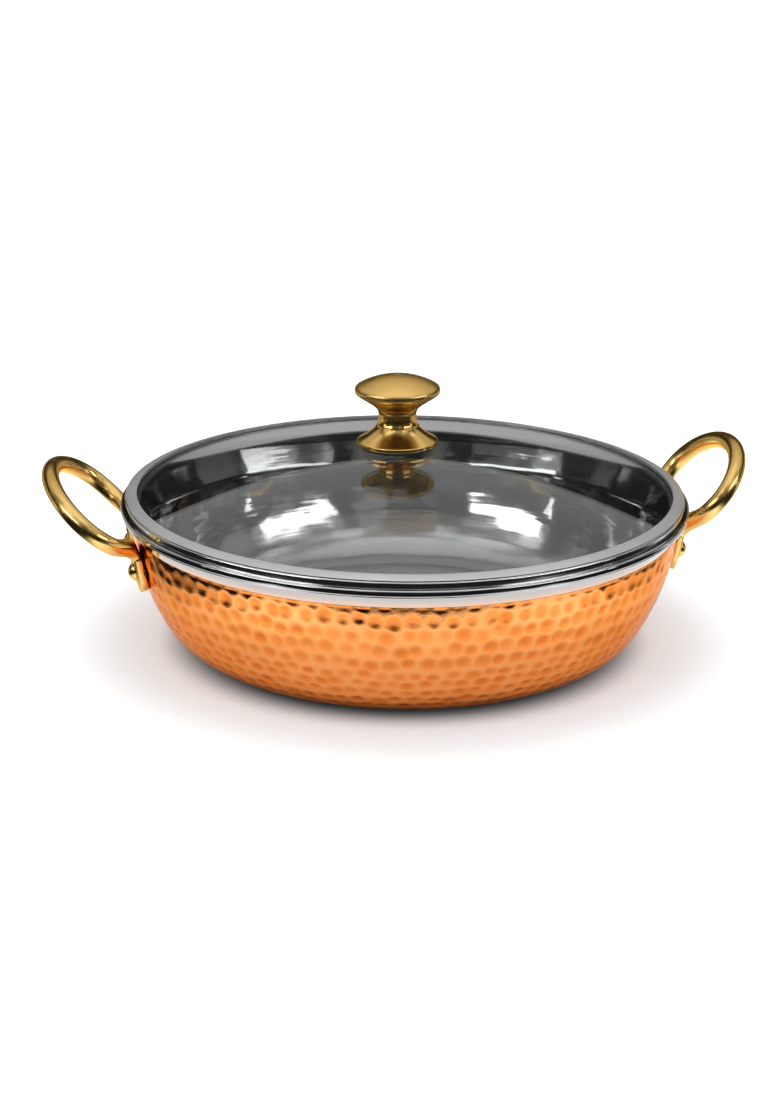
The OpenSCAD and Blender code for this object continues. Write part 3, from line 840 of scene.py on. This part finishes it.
def knob():
    """The knob stands square to the dome at its hole, which lies off the middle."""
    obj = revolve("lid_knob", soften(knob_outline(), knob_edge_r, angle=30), knob_segments)
    place(obj, tilt_on_dome @ Matrix.Translation((0, 0, knob_z)))
    return dress(obj, turned_brass)


# Handles and rivets
rivet_h = shell_h - rivet_drop
lug_turn = math.asin(rivet_span / 2 / wall_radius(shell_wall, rivet_h))
rivet_lean = wall_angle(shell_wall, rivet_h)
lug_top_a = rivet_lean + lug_above / wall_r
lug_tip_a = rivet_lean - lug_below / wall_r
lug_full_a = lug_tip_a + lug_w / 2 / wall_r


def ease(t):
    """From 0 to 1 in a smooth step."""
    s = min(max(t, 0), 1)
    return s * s * (3 - 2 * s)


def unit(v):
    return v / np.linalg.norm(v)


def lug_frame(end, a):
    """On the wall at a lug: the lug's middle, and the ways outwards and upwards, at an angle up the wall."""
    centre, off = shell_wall["c2"], wall_r + joint_gap + lug_t / 2
    c, s = math.cos(end * lug_turn), math.sin(end * lug_turn)
    r = centre[0] + off * math.cos(a)
    return (np.array([r * c, r * s, centre[1] + off * math.sin(a)]),
            np.array([math.cos(a) * c, math.cos(a) * s, math.sin(a)]),
            np.array([-math.sin(a) * c, -math.sin(a) * s, math.cos(a)]))


def loop_point(loop, phi):
    """A point of a loop, which is part of an ellipse that is tilted up and rolled sideways."""
    tilt, roll = math.radians(loop["tilt"]), math.radians(loop["roll"])
    mid = loop_reach * loop_wide_share
    across = loop_half_w * math.sin(phi)
    out = mid + (loop_reach - mid) * math.cos(phi)
    return np.array([shell_r - foot_inset + out * math.cos(tilt), across,
                     shell_h - loop["drop"] + out * math.sin(tilt) + across * math.sin(roll)])


def handle_end(loop, end, under):
    """Rings from a lug's tip up to the loop: (middle, way out, half width, flatness) each."""
    rings = []
    for i in range(1, tip_rings + 1):
        b = math.pi / 2 * i / (tip_rings + 1)
        point, out, _ = lug_frame(end, lug_full_a + (lug_tip_a - lug_full_a) * math.cos(b))
        rings.append((point, out, lug_w / 2 * math.sin(b), 1))
    for i in range(lug_rings):
        point, out, _ = lug_frame(end, lug_full_a + (lug_top_a - lug_full_a) * i / lug_rings)
        rings.append((point, out, lug_w / 2, 1))
    a, out, up = lug_frame(end, lug_top_a)
    b = loop_point(loop, end * loop_span)
    nudge = 0.01  # in radians
    away = unit(loop_point(loop, end * loop_span + nudge) - loop_point(loop, end * loop_span - nudge))
    pull = bend_pull_share * np.linalg.norm(b - a)
    bend = [a, a + pull * up, b + pull * end * away, b]
    for i in range(bend_rings):
        t = i / bend_rings
        flat = 1 - ease(t / taper_share)
        k = ease(t)
        half_w = (rod_d + (lug_w - rod_d) * flat) / 2
        rings.append((bezier(bend, t), unit((1 - k) * out + k * under), half_w, flat))
    return rings


def handle(name, loop, turned):
    """One rod swept along its route and flattened into a lug at each end."""
    tilt = math.radians(loop["tilt"])
    under = np.array([math.sin(tilt), 0, -math.cos(tilt)])
    spans = [loop_span * (2 * i / (loop_rings - 1) - 1) for i in range(loop_rings)]
    route = handle_end(loop, -1, under) + [(loop_point(loop, phi), under, rod_d / 2, 0) for phi in spans]
    route += handle_end(loop, 1, under)[::-1]
    verts, rings = [], []
    for i, (point, out, half_w, flat) in enumerate(route):
        along = unit(route[min(i + 1, len(route) - 1)][0] - route[max(i - 1, 0)][0])
        out = unit(out - (out @ along) * along)
        across = np.cross(along, out)
        thick = (rod_d + (lug_t - rod_d) * flat) / 2
        power = 1 - square_share * flat
        rings.append(list(range(len(verts), len(verts) + rod_sides)))
        for j in range(rod_sides):
            a = 2 * math.pi * j / rod_sides
            c = math.copysign(abs(math.cos(a)) ** power, math.cos(a))
            s = math.copysign(abs(math.sin(a)) ** power, math.sin(a))
            verts.append(point + half_w * c * across + thick * s * out)
    faces = [tuple(rings[0]), tuple(rings[-1][::-1])]
    for a, b in zip(rings, rings[1:]):
        faces += ring_faces(a, b)
    obj = new_object(name, verts, faces, sharp_angle=50)
    if turned:
        place(obj, Matrix.Rotation(math.pi, 4, "Z"))
    return dress(obj, forged_brass)


def rivet(name, side, end):
    """A rivet square to the wall, with a domed head over the lug and a flat tail inside the shell."""
    top = lug_t + 2 * joint_gap
    ball = ball_radius(rivet_head_d / 2, rivet_head_h)
    tail = -copper_t - 2 * joint_gap
    start = math.degrees(math.asin((ball - rivet_head_h) / ball))
    outline = [(0, tail - rivet_tail_t), (rivet_tail_d / 2, tail - rivet_tail_t), (rivet_tail_d / 2, tail),
               (rivet_d / 2, tail), (rivet_d / 2, top)]
    outline += arc((0, top + rivet_head_h - ball), ball, start, 90, rivet_head_steps)[:-1]
    outline += [(0, top + rivet_head_h)]
    obj = revolve(name, soften(outline, rivet_edge_r, angle=40), rivet_segments, sharp_angle=40)
    place(obj, Matrix.Rotation(math.pi * side + end * lug_turn, 4, "Z")
          @ Matrix.Translation((wall_radius(shell_wall, rivet_h), 0, rivet_h))
          @ Matrix.Rotation(math.pi / 2 - rivet_lean, 4, "Y"))
    return dress(obj, forged_brass)


# Assembly
def add(piece, body, node):
    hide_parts(node)
    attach(piece, body)


add(copper_shell(), "pan", "copper_shell")
add(steel_bowl(), "pan", "steel_bowl")
add(handle("handle_loop_left", left_loop, True), "pan", "handle_left")
add(handle("handle_loop_right", right_loop, False), "pan", "handle_right")
for rivet_name, rivet_side, rivet_end in (("rivet_right_front", 0, -1), ("rivet_right_back", 0, 1),
                                          ("rivet_left_front", 1, 1), ("rivet_left_back", 1, -1)):
    add(rivet("domed_" + rivet_name, rivet_side, rivet_end), "pan", rivet_name)
add(lid_band(), "lid", "lid_band")
add(lid_glass(), "lid", "lid_glass")
add(knob(), "lid", "knob")
bed = lid_bed()
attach(bed, "lid")
for node_name, node_material in (("knob_screw", fastener_steel), ("knob_washer", fastener_steel),
                                 ("knob_seal_upper", silicone), ("knob_seal_lower", silicone)):
    dress(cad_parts[node_name], node_material)

# Camera, at the photograph's angle: how far it stands round, looks down and is rolled, in radians
view_turn = math.radians(8.8)
view_drop = math.radians(18.87)
view_roll = math.radians(0.48)
view_distance = 1.0
view_shift_x, view_shift_z = -6.4 * mm, 37.9 * mm
picture_height = 1108
focal_pixels = 2205
sensor_mm = 36
nearest_seen, farthest_seen = 0.01, 100

view_right = Vector((math.cos(view_turn), -math.sin(view_turn), 0))
view_level = Vector((math.sin(view_turn), math.cos(view_turn), 0))
upwards = Vector((0, 0, 1))


def make_camera():
    forward = view_level * math.cos(view_drop) - upwards * math.sin(view_drop)
    up = view_right.cross(forward)
    right = view_right * math.cos(view_roll) + up * math.sin(view_roll)
    up = up * math.cos(view_roll) - view_right * math.sin(view_roll)
    data = bpy.data.cameras.new("camera")
    data.sensor_width = sensor_mm
    data.lens = focal_pixels / picture_height * sensor_mm
    data.clip_start, data.clip_end = nearest_seen, farthest_seen
    camera = bpy.data.objects.new("camera", data)
    bpy.context.scene.collection.objects.link(camera)
    place_at = view_right * view_shift_x + upwards * view_shift_z - forward * view_distance
    rows = [(right[i], up[i], -forward[i], place_at[i]) for i in range(3)] + [(0, 0, 0, 1)]
    camera.matrix_world = Matrix(rows)
    bpy.context.scene.camera = camera


make_camera()

# Studio, seen from the pan: azimuth 0 is the camera's side, and positive is to its right
background_seen, background_light = 1.0, 0.85
white = (1, 1, 1, 1)
floor_size = 8
floor_drop = 0.05 * mm
floor_tone = 0.86
# The floor's glow fades towards the pan as painted shadow
floor_glow_span, floor_glow_tones = (0.12, 0.195), (0.24, 0.66)
floor_glow_colour = (0.94, 1.03, 1.07, 1)
# Painted contact shadow: the floor's colour and glow darken towards the pan's foot
contact_shadow_span, contact_shadow_tone = (0.088, 0.115), 0.04
sheen_roughness, sheen_ior = 0.04, 1.5

# Corners of the cards' outlines, as (radius, height), and the azimuths that they run between
card_r, ground_lift = 1.7, 1 * mm
table_edge, ground_edge, wall_foot = (0.24, ground_lift), (card_r, ground_lift), (card_r, 0)
back_sill, front_sill, back_rail = (card_r, 0.17), (card_r, 0.62), (card_r, 0.85)
glow_low, glow_high = (1.5, 0.72), (1.3, 1.15)
wall_top, ceiling_edge, ceiling_middle = (1.5, 1.5), (0.9, 1.9), (0, 2.1)
in_front, at_back, behind = (-110, 110), (110, 250), (105, 255)
at_left, at_right, all_round = (-84, -34), (38, 88), (-180, 180)
card_steps = 48
patch_span = (0.45, 0.58)


def level_at(azimuth):
    a = math.radians(azimuth)
    return view_right * math.sin(a) - view_level * math.cos(a)


def lamp(name, azimuth, elevation, distance, width, height, radiance):
    data = bpy.data.lights.new(name, "AREA")
    data.shape = "RECTANGLE"
    data.size, data.size_y = width, height
    data.energy = radiance * math.pi * width * height
    obj = bpy.data.objects.new(name, data)
    bpy.context.scene.collection.objects.link(obj)
    e = math.radians(elevation)
    obj.location = level_at(azimuth) * math.cos(e) * distance + upwards * math.sin(e) * distance
    obj.rotation_mode = "QUATERNION"
    obj.rotation_quaternion = (-obj.location).to_track_quat("-Z", "Y")
    obj.visible_camera = False


def empty_material(name):
    mat = bpy.data.materials.new(name)
    mat.use_nodes = True
    mat.node_tree.nodes.clear()
    return mat, Tree(mat.node_tree)


def card_material(name, tone, patch_tone=None, patch_size=None, share=None):
    """A card that only reflections see; seen straight or through clear glass it isn't there."""
    mat, s = empty_material(name)
    colour, strength = (tone, tone, tone, 1), 1
    if patch_tone is not None:
        patches = s.noise(scale=1 / patch_size, detail=2)
        colour, strength = white, s.ramp(patches, patch_span, to=(tone, patch_tone))
    there = s.math("GREATER_THAN", s.node("LightPath").outputs["Glossy Depth"], 0.5)
    if share is not None:
        there = s.math("MULTIPLY", there, share(s))
    glow = s.node("Emission", Color=colour, Strength=strength).outputs[0]
    s.node("OutputMaterial", Surface=s.mix(there, s.node("BsdfTransparent").outputs[0], glow))
    return mat


def hide_card(name, verts, faces, material):
    """Sets up a card that the camera, matt surfaces and shadows pass by."""
    mesh = bpy.data.meshes.new(name)
    mesh.from_pydata([tuple(v) for v in verts], [], faces)
    obj = bpy.data.objects.new(name, mesh)
    bpy.context.scene.collection.objects.link(obj)
    obj.visible_camera = False
    obj.visible_diffuse = False
    obj.visible_shadow = False
    dress(obj, material)


def card(name, outline, azimuths, **tones):
    """A card whose outline is swept round the pan from one azimuth to another."""
    verts, faces = [], []
    start, end = azimuths
    for i in range(card_steps + 1):
        level = level_at(start + (end - start) * i / card_steps)
        verts += [level * r + upwards * z for r, z in outline]
    n = len(outline)
    for i in range(card_steps):
        faces += [(i * n + k, i * n + k + 1, (i + 1) * n + k + 1, (i + 1) * n + k) for k in range(n - 1)]
    hide_card(name, verts, faces, card_material(name, **tones))


def dark_surround(name, left, right, front, back, soft, reach, tone):
    """The ground past the edge of the white table, which darkens outwards in front and at both sides."""

    def share(s):
        total = 0
        for axis, edge in ((-view_level, front), (view_right, right), (-view_right, left)):
            past = s.ramp(s.measure("DOT_PRODUCT", s.place(), axis), span=(edge, edge + soft), smooth=True)
            total = s.math("MAXIMUM", total, past)
        fade = s.ramp(s.measure("DOT_PRODUCT", s.place(), view_level), span=(0, back), to=(1, 0), smooth=True)
        return s.math("MULTIPLY", total, fade)

    corners = [(-reach, -reach), (reach, -reach), (reach, back), (-reach, back)]
    verts = [view_right * x + view_level * y + upwards * ground_lift for x, y in corners]
    hide_card(name, verts, [(0, 1, 2, 3)], card_material(name, tone, share=share))


def make_world():
    """White to whatever looks at it, and a little less as a light."""
    world = bpy.data.worlds.new("studio")
    world.use_nodes = True
    s = Tree(world.node_tree)
    background = world.node_tree.nodes["Background"]
    s.feed(background.inputs["Color"], white)
    strength = s.ramp(s.seen(), span=(0, 1), to=(background_light, background_seen))
    s.feed(background.inputs["Strength"], strength)
    bpy.context.scene.world = world


def floor_material():
    """Matt with a glow that whitens it away from the pan and fades towards it as painted shadow, painted
    darker still where the pan meets it, shiny to mirrors.
    """
    mat, s = empty_material("pale_floor")
    far = s.measure("LENGTH", s.place())
    # Painted contact shadow round the pan's foot
    contact_shadow = s.ramp(far, contact_shadow_span, to=(contact_shadow_tone, 1), smooth=True)
    matt = s.node("BsdfDiffuse", Color=s.math("MULTIPLY", floor_tone, contact_shadow)).outputs[0]
    glow = s.math("MULTIPLY", s.seen(), s.ramp(far, floor_glow_span, to=floor_glow_tones, smooth=True))
    light = s.node("Emission", Color=floor_glow_colour, Strength=s.math("MULTIPLY", glow, contact_shadow)).outputs[0]
    both = s.node("AddShader")
    s.feed_in_order(both, matt, light)
    sheen = s.node("BsdfGlossy", Roughness=sheen_roughness).outputs[0]
    mirrored = s.node("LightPath").outputs["Is Glossy Ray"]
    share = s.math("MULTIPLY", mirrored, s.node("Fresnel", IOR=sheen_ior).outputs[0])
    s.node("OutputMaterial", Surface=s.mix(share, both.outputs[0], sheen))
    return mat


def make_floor():
    """A pale floor that keeps the pan's shadow and is white where nothing shades it."""
    mesh = bpy.data.meshes.new("floor")
    corners = [(-floor_size, -floor_size, 0), (floor_size, -floor_size, 0),
               (floor_size, floor_size, 0), (-floor_size, floor_size, 0)]
    mesh.from_pydata(corners, [], [(0, 1, 2, 3)])
    obj = bpy.data.objects.new("floor", mesh)
    bpy.context.scene.collection.objects.link(obj)
    obj.location.z = -floor_drop
    dress(obj, floor_material())


bpy.context.scene.view_settings.view_transform = "Standard"
make_world()
make_floor()
lamp("soft_left", azimuth=-56, elevation=31, distance=1.25, width=0.85, height=0.2, radiance=4.1)
lamp("soft_right", azimuth=62, elevation=32, distance=1.25, width=0.85, height=0.2, radiance=3.2)
lamp("side_left", azimuth=-78, elevation=16, distance=1.3, width=0.12, height=0.2, radiance=3.0)
lamp("side_right", azimuth=83, elevation=14, distance=1.3, width=0.12, height=0.2, radiance=3.0)
card("front_low", [wall_foot, front_sill], in_front, tone=0.02)
card("back_low", [back_sill, back_rail], at_back, tone=0.02)
card("front_mid", [front_sill, wall_top], in_front, tone=0.03, patch_tone=0.3, patch_size=0.5)
card("front_high", [wall_top, ceiling_edge], in_front, tone=0.3, patch_tone=1.1, patch_size=0.6)
card("back_ground", [table_edge, ground_edge, back_sill], behind, tone=0.42)
card("glow_left", [glow_low, glow_high], at_left, tone=0.35, patch_tone=1.5, patch_size=0.45)
card("glow_right", [glow_low, glow_high], at_right, tone=0.25, patch_tone=1.3, patch_size=0.45)
card("back_mid", [back_rail, wall_top], at_back, tone=0.5)
card("back_high", [wall_top, ceiling_edge], at_back, tone=0.7)
card("top", [ceiling_edge, ceiling_middle], all_round, tone=1.0)
dark_surround("dark_ground", left=0.135, right=0.165, front=0.168, back=0.12, soft=0.07, reach=card_r,
              tone=0.012)
